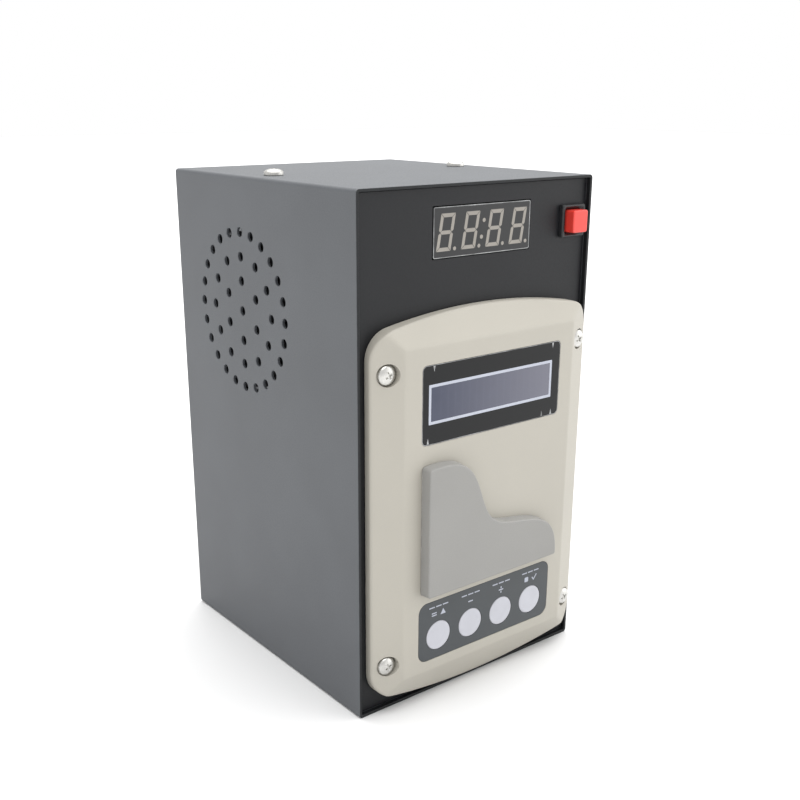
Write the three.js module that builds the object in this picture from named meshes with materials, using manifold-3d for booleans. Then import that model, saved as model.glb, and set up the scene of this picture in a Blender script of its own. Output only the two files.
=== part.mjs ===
// A card payment control box: a folded steel sleeve over a front panel, a floor tray and a rear panel,
// a moulded front bezel with a text display, a card pad and four keys, a four-digit display, a red
// push button, a loudspeaker behind the holes of the left wall, and a mains inlet at the back.
// Millimetres. X is to the right, -Y is the front and +Z is up. The origin is in the middle of the
// sleeve's bottom face.

import * as THREE from 'three';
import { mergeVertices } from 'three/addons/utils/BufferGeometryUtils.js';
import Module from 'manifold-3d';

const wasm = await Module();
wasm.setup();

// ---- Driving dimensions ------------------------------------------------------------------------

const WIDTH = 121;
const DEPTH = 133.5;
const HEIGHT = 210;
const SLEEVE_SHEET = 1.2;
const CHASSIS_SHEET = 1.5;
const BEND_RADIUS = 1.5;
const RECESS = 2; // the panels stand this far inside the sleeve's ends
const GAP = 0.3; // clearance between pieces that meet

const FRONT_EDGE = -DEPTH / 2;
const BACK_EDGE = DEPTH / 2;
const PANEL_FRONT = FRONT_EDGE + RECESS;
const PANEL_BACK = PANEL_FRONT + CHASSIS_SHEET;
const REAR_FACE = BACK_EDGE - RECESS;
const REAR_INSIDE = REAR_FACE - CHASSIS_SHEET;
const INSIDE_HALF = WIDTH / 2 - SLEEVE_SHEET - GAP;
const FLOOR_BOTTOM = SLEEVE_SHEET + 0.2;
const FLOOR_TOP = FLOOR_BOTTOM + CHASSIS_SHEET;
const PANEL_TOP = HEIGHT - SLEEVE_SHEET - GAP;

// Speaker holes: one in the middle and three rings, on the left wall.
const SPEAKER = { y: 13.6, z: 155, holeRadius: 2, rings: [[6, 12.5, 30], [12, 22.5, 0], [24, 32.5, 0]] };

// Screws: shank radius, head radius and head height.
const M4 = { shank: 2, head: 4, height: 2.6 };
const M3 = { shank: 1.5, head: 2.9, height: 1.9 };
const TOP_SCREW = { x: 48.5, y: 5 };
const RAIL = 10;
const REAR_SCREW_LOW = 7;
const UPSTAND_TOP = 12;
const RAIL_TOP = PANEL_TOP;

// Front bezel: a flat face with a border that slopes back to the outline on all four sides.
const BEZEL = { x: 1.45, halfWidth: 57.45, bottom: 1.6, top: 163.7, corner: 12 };
BEZEL.topArc = 265;
BEZEL.bottomArc = 215;
const BEZEL_BACK = PANEL_FRONT - GAP;
const BEZEL_FACE = FRONT_EDGE - 6.8;
const BEZEL_FLAT = { left: -43.7, right: 46.5, bottom: 14.7, top: 151.8 };
const BEZEL_SLOPE = 0.414; // fall of the border for each millimetre outwards
const SLOPE_REACH = 25;
const SLOPE_BODY = 10;
const BEZEL_WALL = 3;
const BEZEL_SCREW = { x: 51, low: 22.3, high: 142.9, well: 4.4, seat: FRONT_EDGE - 2.4, head: 3.9 };

// Text display.
const LCD = { x: 2, z: 128.8, lensWidth: 74.1, lensHeight: 31.4, frameWidth: 71.2, frameHeight: 24.2 };
LCD.front = BEZEL_FACE + 1.6;
LCD.back = LCD.front + 9.6;

// Four-digit display and the red button beside it.
const LED = { x: 1.56, z: 191.9, width: 50.3, height: 19.05, depth: 8.4 };
const BUTTON = { x: 50.3, z: 191.9, housing: 13.2, body: 11.6, capWidth: 8.4, capHeight: 9 };
const BUTTON_FACE = FRONT_EDGE - 0.25;
const BUTTON_CAP_FACE = FRONT_EDGE - 4;

// Key label and keys.
const LABEL = { x: 1.5, z: 32.5, width: 74.3, height: 26.2, corner: 4.3, thickness: 0.4 };
const KEYS = { first: -25.1, pitch: 17.57, z: 29.5, radius: 6.3, flange: 7.2, count: 4 };
const SWITCH_FRONT = PANEL_BACK;

// Card pad.
const PAD = { left: -35.1, right: 37.85, bottom: 50 };
const PAD_BACK = BEZEL_FACE - 0.2;
const PAD_FACE = BEZEL_FACE - 4.9;
const PAD_WALL = 2;
const READER_SLOT = { x: -22, z: 78, width: 16, height: 6 }; // way through for the reader's lead

// Control board and mains inlet.
const BOARD = { halfWidth: 48, front: -52, back: 10, bottom: 9.3, thickness: 1.6 };
const INLET = { x: -22, z: 62, flangeWidth: 31, flangeHeight: 52, width: 27, height: 47, back: 35 };
INLET.face = BACK_EDGE - 0.05;
const SOCKET = { z: INLET.z - 3.3, width: 24.2, height: 16.6, depth: 17 };
const DRAWER = { z: INLET.z - 18.2, width: 21.4, height: 8.2, back: 42 };
const ROCKER = { z: INLET.z + 14.5, halfLength: 10, halfWidth: 6.1, tilt: 12.4 };
const GLAND = { x: 33, z: 58, thread: 9, bore: 3.6 };
const TRANSFORMER = { x: 30, y: 38 };

// ---- Geometry helpers --------------------------------------------------------------------------

function toSolid(geometry) {
  const bare = new THREE.BufferGeometry();
  bare.setAttribute('position', geometry.attributes.position.clone());
  if (geometry.index) bare.setIndex(geometry.index.clone());
  const merged = mergeVertices(bare, 1e-4);
  const triangles = [];
  const index = merged.index.array;
  for (let i = 0; i < index.length; i += 3) {
    const [a, b, c] = [index[i], index[i + 1], index[i + 2]];
    if (a !== b && b !== c && c !== a) triangles.push(a, b, c);
  }
  const vertProperties = Float32Array.from(merged.attributes.position.array);
  const triVerts = Uint32Array.from(triangles);
  return new wasm.Manifold(new wasm.Mesh({ numProp: 3, vertProperties, triVerts }));
}

function toGeometry(solid) {
  const { vertProperties, triVerts } = solid.getMesh();
  const geometry = new THREE.BufferGeometry();
  geometry.setAttribute('position', new THREE.BufferAttribute(vertProperties, 3));
  geometry.setIndex(new THREE.BufferAttribute(triVerts, 1));
  geometry.computeVertexNormals();
  return geometry;
}

function block(x0, x1, y0, y1, z0, z1) {
  const geometry = new THREE.BoxGeometry(x1 - x0, y1 - y0, z1 - z0);
  geometry.translate((x0 + x1) / 2, (y0 + y1) / 2, (z0 + z1) / 2);
  return toSolid(geometry);
}

// A block around a centre in the XZ plane, from y0 to y1.
function slab(x, z, width, height, y0, y1) {
  return block(x - width / 2, x + width / 2, y0, y1, z - height / 2, z + height / 2);
}

function alongAxis(geometry, axis) {
  if (axis === 'x') geometry.rotateZ(-Math.PI / 2);
  if (axis === 'z') geometry.rotateX(Math.PI / 2);
  return geometry;
}

// A round rod along an axis, from start to end, centred on the other two coordinates.
function rod(axis, radius, start, end, a, b, sides = 24) {
  const geometry = alongAxis(new THREE.CylinderGeometry(radius, radius, end - start, sides), axis);
  const middle = (start + end) / 2;
  const place = { x: [middle, a, b], y: [a, middle, b], z: [a, b, middle] }[axis];
  geometry.translate(...place);
  return toSolid(geometry);
}

// A turned piece: (radius, height) pairs along an axis, measured from a point, direction +1 or -1.
function turned(profile, axis, point, direction = 1, sides = 24) {
  const points = profile.map(([radius, height]) => new THREE.Vector2(radius, height));
  const geometry = new THREE.LatheGeometry(points, sides);
  if (axis === 'y' && direction < 0) geometry.rotateX(Math.PI);
  if (axis === 'z') geometry.rotateX(direction * Math.PI / 2);
  if (axis === 'x') geometry.rotateZ(-direction * Math.PI / 2);
  geometry.translate(...point);
  return toSolid(geometry);
}

// An outline in X and Z, extruded from yBack towards the front to yFront.
function prism(shape, yBack, yFront, curveSegments = 6) {
  const options = { depth: yBack - yFront, bevelEnabled: false, curveSegments };
  const geometry = new THREE.ExtrudeGeometry(shape, options);
  geometry.rotateX(Math.PI / 2);
  geometry.translate(0, yBack, 0);
  return toSolid(geometry);
}

function roundedRectangle(x, z, width, height, radius) {
  const [left, right] = [x - width / 2, x + width / 2];
  const [low, high] = [z - height / 2, z + height / 2];
  const shape = new THREE.Shape();
  shape.moveTo(left + radius, low);
  shape.lineTo(right - radius, low);
  shape.absarc(right - radius, low + radius, radius, -Math.PI / 2, 0, false);
  shape.lineTo(right, high - radius);
  shape.absarc(right - radius, high - radius, radius, 0, Math.PI / 2, false);
  shape.lineTo(left + radius, high);
  shape.absarc(left + radius, high - radius, radius, Math.PI / 2, Math.PI, false);
  shape.lineTo(left, low + radius);
  shape.absarc(left + radius, low + radius, radius, Math.PI, Math.PI * 1.5, false);
  return shape;
}

// A tube or strip along a curve through points.
function swept(points, section, steps) {
  const path = new THREE.CatmullRomCurve3(points.map((p) => new THREE.Vector3(...p)));
  return toSolid(new THREE.ExtrudeGeometry(section, { steps, bevelEnabled: false, extrudePath: path }));
}

function circleSection(radius, sides) {
  const corners = [];
  for (let i = 0; i < sides; i += 1) {
    const angle = 2 * Math.PI * i / sides;
    corners.push(new THREE.Vector2(radius * Math.cos(angle), radius * Math.sin(angle)));
  }
  return new THREE.Shape(corners);
}

function union(solids) {
  return solids.reduce((sum, solid) => sum.add(solid));
}

const model = new THREE.Group();

function addPiece(name, solid, color, roughness, metalness = 0) {
  const material = new THREE.MeshStandardMaterial({ color, roughness, metalness });
  const mesh = new THREE.Mesh(toGeometry(solid), material);
  mesh.name = name;
  model.add(mesh);
}

const COLORS = {
  powderCoat: 0x4a4c50,
  panel: 0x45474b,
  bezel: 0xd0ccc2,
  zinc: 0xc4c6c8,
  board: 0x1f6b3a,
  blackPlastic: 0x1c1d1f,
  pad: 0xb0afae,
  label: 0x5b5d61,
  key: 0xd5d6de,
  red: 0xd8352c,
  copper: 0xb46a3c,
};

// ---- Sleeve and its screws ---------------------------------------------------------------------

function speakerHoleCentres() {
  const centres = [[SPEAKER.y, SPEAKER.z]];
  for (const [count, radius, firstAngle] of SPEAKER.rings) {
    for (let i = 0; i < count; i += 1) {
      const angle = (firstAngle + 360 * i / count) * Math.PI / 180;
      centres.push([SPEAKER.y + radius * Math.cos(angle), SPEAKER.z + radius * Math.sin(angle)]);
    }
  }
  return centres;
}

function sleeve() {
  const outline = roundedRectangle(0, HEIGHT / 2, WIDTH, HEIGHT, BEND_RADIUS);
  const inside = roundedRectangle(0, HEIGHT / 2, WIDTH - 2 * SLEEVE_SHEET, HEIGHT - 2 * SLEEVE_SHEET, 0.4);
  outline.holes.push(inside);
  let body = prism(outline, BACK_EDGE, FRONT_EDGE, 3);
  const wall = -WIDTH / 2;
  const cutters = speakerHoleCentres().map(([y, z]) =>
    rod('x', SPEAKER.holeRadius, wall - 1, wall + SLEEVE_SHEET + 1, y, z, 10));
  for (const side of [-1, 1]) {
    cutters.push(rod('z', M4.shank + GAP, HEIGHT - 4, HEIGHT + 1, side * TOP_SCREW.x, TOP_SCREW.y, 16));
  }
  body = body.subtract(union(cutters));
  return body;
}

// A domed pan head standing on a plane, with its shank going the other way.
function panScrew(size, length, axis, point, direction) {
  const { shank, head, height } = size;
  const profile = [
    [0, -length], [shank, -length], [shank, 0], [head, 0], [head * 0.97, height * 0.55],
    [head * 0.65, height * 0.92], [0, height],
  ];
  return turned(profile, axis, point, direction, 14);
}

function tieRail(side) {
  const x = side * TOP_SCREW.x;
  const half = RAIL / 2;
  const bar = block(x - half, x + half, PANEL_BACK + GAP, REAR_INSIDE - GAP, RAIL_TOP - RAIL, RAIL_TOP);
  const screwHole = rod('z', M4.shank + GAP, RAIL_TOP - RAIL - 1, RAIL_TOP + 1, x, TOP_SCREW.y, 16);
  const endHole = rod('y', M3.shank + GAP, REAR_INSIDE - 12, REAR_INSIDE + 1, x, RAIL_TOP - half, 12);
  return bar.subtract(screwHole).subtract(endHole);
}

addPiece('outer_sleeve', sleeve(), COLORS.powderCoat, 0.7, 0.1);
for (const [side, name] of [[-1, 'left'], [1, 'right']]) {
  const point = [side * TOP_SCREW.x, TOP_SCREW.y, HEIGHT + 0.05];
  addPiece(`top_screw_${name}`, panScrew(M4, 9, 'z', point, 1), COLORS.zinc, 0.35, 0.9);
  addPiece(`tie_rail_${name}`, tieRail(side), COLORS.zinc, 0.5, 0.8);
}

// ---- Front panel, floor tray and rear panel ----------------------------------------------------

function boardCorners(x, z, halfWidth, halfHeight) {
  return [[-1, -1], [1, -1], [-1, 1], [1, 1]].map(([sx, sz]) => [x + sx * halfWidth, z + sz * halfHeight]);
}

const LCD_STUDS = boardCorners(LCD.x, LCD.z, 37.5, 15.5);
const LED_STUDS = [[LED.x - 28, LED.z], [LED.x + 28, LED.z]];
const KEY_STUDS = boardCorners(KEYS.first + 1.5 * KEYS.pitch, KEYS.z, 35.5, 10);
const MAIN_STUDS = boardCorners(0, (BOARD.front + BOARD.back) / 2, 44, 27);
const STUD = { radius: 2.2, pin: 1.3, hole: 1.7 };
const LED_BOARD_FRONT = PANEL_FRONT - 0.15 + LED.depth + 0.2;
const KEY_BOARD_FRONT = SWITCH_FRONT + 3.7;

// A stud welded behind the front panel: a spacer up to the board and a pin through it.
function panelStud([x, z], boardFront) {
  const spacer = rod('y', STUD.radius, PANEL_BACK - 0.5, boardFront - 0.1, x, z, 6);
  return spacer.add(rod('y', STUD.pin, boardFront - 1, boardFront + 3, x, z, 6));
}

function boardStandoff([x, y]) {
  const spacer = rod('z', 3, FLOOR_TOP - 0.5, BOARD.bottom - 0.1, x, y, 6);
  return spacer.add(rod('z', STUD.pin, BOARD.bottom - 1, BOARD.bottom + 3.5, x, y, 6));
}

function bezelScrewCentres() {
  return boardCorners(BEZEL.x, (BEZEL_SCREW.low + BEZEL_SCREW.high) / 2, BEZEL_SCREW.x,
    (BEZEL_SCREW.high - BEZEL_SCREW.low) / 2);
}

function frontPanel() {
  let body = block(-INSIDE_HALF, INSIDE_HALF, PANEL_FRONT, PANEL_BACK, FLOOR_BOTTOM, PANEL_TOP);
  const [nutFront, nutBack] = [PANEL_BACK - 0.5, PANEL_BACK + 3];
  const clinchNuts = bezelScrewCentres().map(([x, z]) => rod('y', 4, nutFront, nutBack, x, z, 12));
  const studs = [
    ...LCD_STUDS.map((centre) => panelStud(centre, LCD.back + 0.2)),
    ...LED_STUDS.map((centre) => panelStud(centre, LED_BOARD_FRONT)),
    ...KEY_STUDS.map((centre) => panelStud(centre, KEY_BOARD_FRONT)),
  ];
  body = body.add(union([...clinchNuts, ...studs]));
  const [cutFront, cutBack] = [PANEL_FRONT - 1, PANEL_BACK + 1];
  const cuts = [
    slab(LED.x, LED.z, LED.width + 2 * GAP, LED.height + 2 * GAP, cutFront, cutBack),
    slab(BUTTON.x, BUTTON.z, BUTTON.body + 2 * GAP, BUTTON.body + 2 * GAP, cutFront, cutBack),
    slab(LCD.x, LCD.z, LCD.frameWidth + 1, LCD.frameHeight + 1, cutFront, cutBack),
    slab(KEYS.first + 1.5 * KEYS.pitch, KEYS.z, 3 * KEYS.pitch + 13, 14, cutFront, cutBack),
    slab(READER_SLOT.x, READER_SLOT.z, READER_SLOT.width, READER_SLOT.height, cutFront, cutBack),
    ...bezelScrewCentres().map(([x, z]) => rod('y', M4.shank + GAP, cutFront, cutBack + 4, x, z, 10)),
  ];
  return body.subtract(union(cuts));
}

// A floor with an upstand at each end: the front one is welded to the front panel, and the rear
// panel is screwed to the rear one.
function floorTray() {
  const [front, back] = [PANEL_BACK + GAP, REAR_INSIDE - GAP];
  const floor = block(-INSIDE_HALF, INSIDE_HALF, front, back, FLOOR_BOTTOM, FLOOR_TOP);
  const upstand = (y0, y1) => block(-INSIDE_HALF, INSIDE_HALF, y0, y1, FLOOR_BOTTOM, UPSTAND_TOP);
  const frontUpstand = upstand(front, front + CHASSIS_SHEET);
  const rearUpstand = upstand(back - CHASSIS_SHEET, back);
  const screwHoles = [-1, 1].map((side) =>
    rod('y', M3.shank + GAP, back - 6, back + 1, side * TOP_SCREW.x, REAR_SCREW_LOW, 12));
  const body = union([floor, frontUpstand, rearUpstand, ...MAIN_STUDS.map(boardStandoff)]);
  return body.subtract(union(screwHoles));
}

function rearPanel() {
  const body = block(-INSIDE_HALF, INSIDE_HALF, REAR_INSIDE, REAR_FACE, FLOOR_BOTTOM + 0.2, PANEL_TOP);
  const [cutFront, cutBack] = [REAR_INSIDE - 1, REAR_FACE + 1];
  const cuts = [
    slab(INLET.x, INLET.z, INLET.width + 2 * GAP, INLET.height + 2 * GAP, cutFront, cutBack),
    rod('y', GLAND.thread + GAP, cutFront, cutBack, GLAND.x, GLAND.z, 24),
    ...rearScrewCentres().map(([x, z]) => rod('y', M3.shank + GAP, cutFront, cutBack, x, z, 12)),
  ];
  return body.subtract(union(cuts));
}

function rearScrewCentres() {
  const [low, high] = [REAR_SCREW_LOW, RAIL_TOP - RAIL / 2];
  return boardCorners(0, (low + high) / 2, TOP_SCREW.x, (high - low) / 2);
}

addPiece('front_panel', frontPanel(), COLORS.panel, 0.7, 0.1);
addPiece('floor_tray', floorTray(), COLORS.panel, 0.7, 0.1);
addPiece('rear_panel', rearPanel(), COLORS.panel, 0.7, 0.1);
rearScrewCentres().forEach(([x, z], i) => {
  const screw = panScrew(M3, 6, 'y', [x, REAR_FACE + 0.05, z], 1);
  addPiece(`rear_screw_${i + 1}`, screw, COLORS.zinc, 0.35, 0.9);
});

// ---- Front bezel -------------------------------------------------------------------------------

// Straight sides, shallow arcs at top and bottom, and round corners tangent to both.
function bezelOutline() {
  const { x, halfWidth, bottom, top, topArc, bottomArc, corner } = BEZEL;
  const reach = halfWidth - corner;
  const topRise = Math.sqrt((topArc - corner) ** 2 - reach ** 2);
  const bottomRise = Math.sqrt((bottomArc - corner) ** 2 - reach ** 2);
  const topAngle = Math.atan2(topRise, reach);
  const bottomAngle = Math.atan2(bottomRise, reach);
  const highCentre = top - topArc + topRise;
  const lowCentre = bottom + bottomArc - bottomRise;
  const shape = new THREE.Shape();
  shape.absarc(x + reach, lowCentre, corner, -bottomAngle, 0, false);
  shape.absarc(x + reach, highCentre, corner, 0, topAngle, false);
  shape.absarc(x, top - topArc, topArc, topAngle, Math.PI - topAngle, false);
  shape.absarc(x - reach, highCentre, corner, Math.PI - topAngle, Math.PI, false);
  shape.absarc(x - reach, lowCentre, corner, Math.PI, Math.PI + bottomAngle, false);
  shape.absarc(x, bottom + bottomArc, bottomArc, Math.PI + bottomAngle, 2 * Math.PI - bottomAngle, false);
  return shape;
}

// The flat face and the four slopes around it, larger than the outline.
function bezelSlopes() {
  const { left, right, bottom, top } = BEZEL_FLAT;
  const flat = new THREE.Shape([[left, bottom], [right, bottom], [right, top], [left, top]]
    .map(([x, z]) => new THREE.Vector2(x, z)));
  const fall = SLOPE_REACH * BEZEL_SLOPE;
  const bevel = { bevelEnabled: true, bevelThickness: fall, bevelSize: SLOPE_REACH, bevelSegments: 1 };
  const geometry = new THREE.ExtrudeGeometry(flat, { depth: SLOPE_BODY, ...bevel });
  geometry.rotateX(Math.PI / 2);
  geometry.translate(0, BEZEL_FACE + fall + SLOPE_BODY, 0);
  return toSolid(geometry);
}

function keyCentres() {
  return Array.from({ length: KEYS.count }, (_, i) => KEYS.first + i * KEYS.pitch);
}

function bezel() {
  let body = prism(bezelOutline(), BEZEL_BACK, BEZEL_FACE - 1, 5).intersect(bezelSlopes());
  const { well, seat } = BEZEL_SCREW;
  const through = BEZEL_BACK + 1;
  const outside = BEZEL_FACE - 1;
  const hollowWidth = BEZEL_FLAT.right - BEZEL_FLAT.left - 2 * BEZEL_WALL;
  const hollowHeight = BEZEL_FLAT.top - BEZEL_FLAT.bottom - 2 * BEZEL_WALL;
  const middleX = (BEZEL_FLAT.left + BEZEL_FLAT.right) / 2;
  const middleZ = (BEZEL_FLAT.bottom + BEZEL_FLAT.top) / 2;
  const lensPocket = roundedRectangle(LCD.x, LCD.z, LCD.lensWidth + GAP, LCD.lensHeight + GAP, 2.2);
  const [labelWidth, labelHeight] = [LABEL.width + GAP, LABEL.height + GAP];
  const labelPocket = roundedRectangle(LABEL.x, LABEL.z, labelWidth, labelHeight, LABEL.corner);
  const cuts = [
    slab(middleX, middleZ, hollowWidth, hollowHeight, BEZEL_FACE + BEZEL_WALL, through),
    prism(lensPocket, BEZEL_FACE + 1.4, outside, 3),
    slab(LCD.x, LCD.z, LCD.frameWidth + 0.8, LCD.frameHeight + 0.8, outside, through),
    prism(labelPocket, BEZEL_FACE + 0.6, outside, 3),
    ...keyCentres().map((x) => rod('y', KEYS.flange + 0.5, outside, through, x, KEYS.z, 16)),
    slab(READER_SLOT.x, READER_SLOT.z, READER_SLOT.width, READER_SLOT.height, outside, through),
    ...bezelScrewCentres().flatMap(([x, z]) => [
      rod('y', well, outside, seat, x, z, 16),
      rod('y', M4.shank + GAP, outside, through, x, z, 10),
    ]),
  ];
  body = body.subtract(union(cuts));
  return body;
}

addPiece('front_bezel', bezel(), COLORS.bezel, 0.55);
bezelScrewCentres().forEach(([x, z], i) => {
  const point = [x, BEZEL_SCREW.seat - 0.05, z];
  const screw = panScrew({ ...M4, head: BEZEL_SCREW.head }, 8, 'y', point, -1);
  addPiece(`bezel_screw_${i + 1}`, screw, COLORS.zinc, 0.35, 0.9);
});

// ---- Text display ------------------------------------------------------------------------------

function lcdFrame() {
  const body = slab(LCD.x, LCD.z, LCD.frameWidth, LCD.frameHeight, LCD.front, LCD.back);
  const window = slab(LCD.x, LCD.z, 64.5, 15.6, LCD.front - 1, LCD.front + 2);
  const cavity = slab(LCD.x, LCD.z, 67.6, 20.6, LCD.front + 1, LCD.back + 1);
  return body.subtract(window).subtract(cavity);
}

function drilledBoard(outline, centres) {
  return outline.subtract(union(centres));
}

const lens = roundedRectangle(LCD.x, LCD.z, LCD.lensWidth, LCD.lensHeight, 2);
addPiece('lcd_lens', prism(lens, BEZEL_FACE + 1.2, BEZEL_FACE + 0.05, 3), 0x3b4045, 0.15);
addPiece('lcd_frame', lcdFrame(), 0x8a8d90, 0.4, 0.8);
addPiece('lcd_glass', slab(LCD.x, LCD.z, 67, 20, LCD.front + 1.3, LCD.front + 4), 0x6a6f8a, 0.2);
{
  const board = slab(LCD.x, LCD.z, 80, 36, LCD.back + 0.2, LCD.back + 1.8);
  const holes = LCD_STUDS.map(([x, z]) => rod('y', STUD.hole, LCD.back - 1, LCD.back + 4, x, z, 8));
  addPiece('lcd_board', drilledBoard(board, holes), COLORS.board, 0.5);
}

// ---- Key label, keys and their switches --------------------------------------------------------

const KEY_FACE = BEZEL_FACE - 0.1;
const LABEL_BACK = BEZEL_FACE + LABEL.thickness;

function keyLabel() {
  const outline = roundedRectangle(LABEL.x, LABEL.z, LABEL.width, LABEL.height, LABEL.corner);
  const body = prism(outline, LABEL_BACK, BEZEL_FACE, 4);
  return body.subtract(union(keyCentres().map((x) =>
    rod('y', KEYS.radius + 0.25, BEZEL_FACE - 1, LABEL_BACK + 1, x, KEYS.z, 20))));
}

// A key: a disc in the label, a wider rim behind the label that keeps it in, and a stem.
function key(x) {
  const rimFront = LABEL_BACK + GAP;
  const face = rod('y', KEYS.radius, KEY_FACE, rimFront + 0.3, x, KEYS.z, 20);
  const rim = rod('y', KEYS.flange, rimFront, rimFront + 0.8, x, KEYS.z, 20);
  const stem = rod('y', 1.6, rimFront + 0.4, PANEL_FRONT - 0.2, x, KEYS.z, 8);
  return face.add(rim).add(stem);
}

function tactSwitch(x) {
  const body = slab(x, KEYS.z, 6, 6, SWITCH_FRONT + 0.1, KEY_BOARD_FRONT - 0.1);
  return body.add(rod('y', 1.7, PANEL_FRONT + 0.55, SWITCH_FRONT + 0.6, x, KEYS.z, 12));
}

addPiece('key_label', keyLabel(), COLORS.label, 0.4);
keyCentres().forEach((x, i) => {
  addPiece(`key_${i + 1}`, key(x), COLORS.key, 0.4);
  addPiece(`tact_switch_${i + 1}`, tactSwitch(x), COLORS.blackPlastic, 0.5);
});
{
  const middle = KEYS.first + 1.5 * KEYS.pitch;
  const board = slab(middle, KEYS.z, 78, 26, KEY_BOARD_FRONT, KEY_BOARD_FRONT + 1.6);
  const [from, to] = [KEY_BOARD_FRONT - 1, KEY_BOARD_FRONT + 3];
  const holes = KEY_STUDS.map(([x, z]) => rod('y', STUD.hole, from, to, x, z, 8));
  addPiece('key_board', drilledBoard(board, holes), COLORS.board, 0.5);
}

// ---- Card pad and antenna ----------------------------------------------------------------------

// A straight left side and bottom, and a crown that falls in an S to a lower shoulder.
function padOutline() {
  const shape = new THREE.Shape();
  shape.moveTo(PAD.left, PAD.bottom);
  shape.lineTo(PAD.right, PAD.bottom);
  shape.bezierCurveTo(38.2, 69.2, 28.4, 70.2, 9.4, 73);
  shape.bezierCurveTo(-2.8, 74.8, -4, 81.2, -8.2, 92.1);
  shape.bezierCurveTo(-13, 104.6, -20.3, 106.3, PAD.left, 104.8);
  return shape;
}

// An L inside the pad: its lower band and its left column, drawn in by a margin.
function antennaOutline(margin) {
  const [left, right, shoulder] = [PAD.left + margin, 33.5 - 2 * margin, -12 - margin];
  const [low, step, high] = [PAD.bottom + margin, 66 - margin, 101 - margin];
  const band = [[left, low], [right, low], [right, step], [shoulder, step]];
  const corners = [...band, [shoulder, high], [left, high]];
  return new THREE.Shape(corners.map(([x, z]) => new THREE.Vector2(x, z)));
}

function cardPad() {
  const body = prism(padOutline(), PAD_BACK, PAD_FACE, 8);
  return body.subtract(prism(antennaOutline(PAD_WALL), PAD_BACK + 1, PAD_FACE + 2));
}

addPiece('card_pad', cardPad(), COLORS.pad, 0.6);
const antenna = prism(antennaOutline(PAD_WALL + 0.5), PAD_FACE + 3.9, PAD_FACE + 2.3);
addPiece('antenna_board', antenna, COLORS.board, 0.5);

// ---- Four-digit display ------------------------------------------------------------------------

const LED_FACE = PANEL_FRONT - 0.15;
const ledModule = slab(LED.x, LED.z, LED.width, LED.height, LED_FACE, LED_FACE + LED.depth);
addPiece('led_display', ledModule, 0x3a3c40, 0.35);
{
  const board = slab(LED.x, LED.z, 62, 24, LED_BOARD_FRONT, LED_BOARD_FRONT + 1.6);
  const [from, to] = [LED_BOARD_FRONT - 1, LED_BOARD_FRONT + 3];
  const holes = LED_STUDS.map(([x, z]) => rod('y', STUD.hole, from, to, x, z, 8));
  addPiece('led_board', drilledBoard(board, holes), COLORS.board, 0.5);
}

// ---- Red push button ---------------------------------------------------------------------------

const BUTTON_POCKET_END = BUTTON_FACE + 9;
const CAP_BACK = BUTTON_POCKET_END - 3.8;

function buttonHousing() {
  const { x, z, housing, body, capWidth, capHeight } = BUTTON;
  const face = slab(x, z, housing, housing, BUTTON_FACE, PANEL_FRONT - 0.1);
  const behind = slab(x, z, body, body, PANEL_FRONT - 0.5, BUTTON_POCKET_END + 9);
  const pocket = slab(x, z, capWidth + 2 * GAP, capHeight + 2 * GAP, BUTTON_FACE - 1, BUTTON_POCKET_END);
  return face.add(behind).subtract(pocket);
}

// A helix of round wire between the cap and the bottom of its pocket.
function buttonSpring() {
  const [start, end] = [CAP_BACK + 0.6, BUTTON_POCKET_END - 0.6];
  const [turns, stepsPerTurn, radius] = [3, 8, 2.6];
  const points = [];
  for (let i = 0; i <= turns * stepsPerTurn; i += 1) {
    const angle = 2 * Math.PI * i / stepsPerTurn;
    const y = start + (end - start) * i / (turns * stepsPerTurn);
    points.push([BUTTON.x + radius * Math.cos(angle), y, BUTTON.z + radius * Math.sin(angle)]);
  }
  return swept(points, circleSection(0.25, 5), turns * stepsPerTurn);
}

addPiece('button_housing', buttonHousing(), COLORS.blackPlastic, 0.45);
const cap = slab(BUTTON.x, BUTTON.z, BUTTON.capWidth, BUTTON.capHeight, BUTTON_CAP_FACE, CAP_BACK);
addPiece('button_cap', cap, COLORS.red, 0.35);
addPiece('button_spring', buttonSpring(), COLORS.zinc, 0.35, 0.9);

// ---- Loudspeaker -------------------------------------------------------------------------------

{
  const wall = -WIDTH / 2 + SLEEVE_SHEET;
  const at = (distance) => [wall + distance, SPEAKER.y, SPEAKER.z];
  const gasket = [[35.2, 0], [39, 0], [39, 1.8], [35.2, 1.8], [35.2, 0]];
  const basket = [
    [33, 0], [39, 0], [39, 1.5], [36, 1.5], [21, 16], [21, 17.5], [12.6, 17.5], [12.6, 16], [18.8, 16],
    [33, 2.2], [33, 0],
  ];
  const cone = [
    [30.5, 1], [32.6, 1], [32.6, 1.5], [30.7, 1.7], [9, 12], [6, 9.5], [0, 8.2], [0, 8.8], [5.8, 10.1],
    [9, 12.8], [30.5, 1],
  ];
  const magnet = [[0, 18], [11, 18], [20, 18], [20, 26], [0, 26]];
  addPiece('speaker_gasket', turned(gasket, 'x', at(0.2), 1, 20), 0x2a2a2a, 0.9);
  addPiece('speaker_basket', turned(basket, 'x', at(2.3), 1, 20), 0x5a5c60, 0.4, 0.8);
  addPiece('speaker_cone', turned(cone, 'x', at(2.3), 1, 20), 0x222224, 0.9);
  addPiece('speaker_magnet', turned(magnet, 'x', at(2.3), 1, 20), 0x3a3a3c, 0.5, 0.5);
}

// ---- Control board -----------------------------------------------------------------------------

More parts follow.
